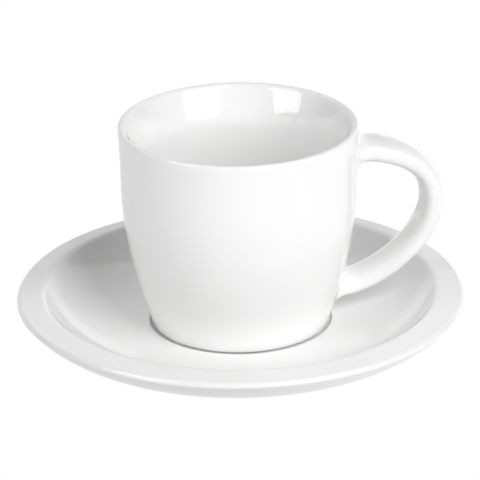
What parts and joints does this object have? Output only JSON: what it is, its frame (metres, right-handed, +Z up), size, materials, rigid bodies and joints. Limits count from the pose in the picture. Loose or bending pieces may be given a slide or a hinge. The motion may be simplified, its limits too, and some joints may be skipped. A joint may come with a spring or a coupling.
{
  "type": "cappuccino cup with saucer",
  "caption": "Rounded porcelain cup with a band loop handle, standing on a flanged round saucer it lifts off.",
  "frame": {"origin": "centre of the saucer, on the plane that its foot ring stands on", "axes": "+Z up along the axis of cup and saucer, +X from the axis towards the handle"},
  "size_m": [0.155, 0.155, 0.079],
  "materials": {
    "saucer_glaze": "white glossy glaze",
    "cup_glaze": "white glossy glaze",
    "handle_glaze": "white glossy glaze"
  },
  "bodies": {
    "saucer": {"saucer": "saucer_glaze"},
    "cup": {"cup_body": "cup_glaze", "cup_handle": "handle_glaze"}
  },
  "joints": [
    {"name": "cup_lift", "type": "slide", "parent": "saucer", "child": "cup", "axis": [0, 0, 1], "range_m": [0, 0.08]}
  ]
}
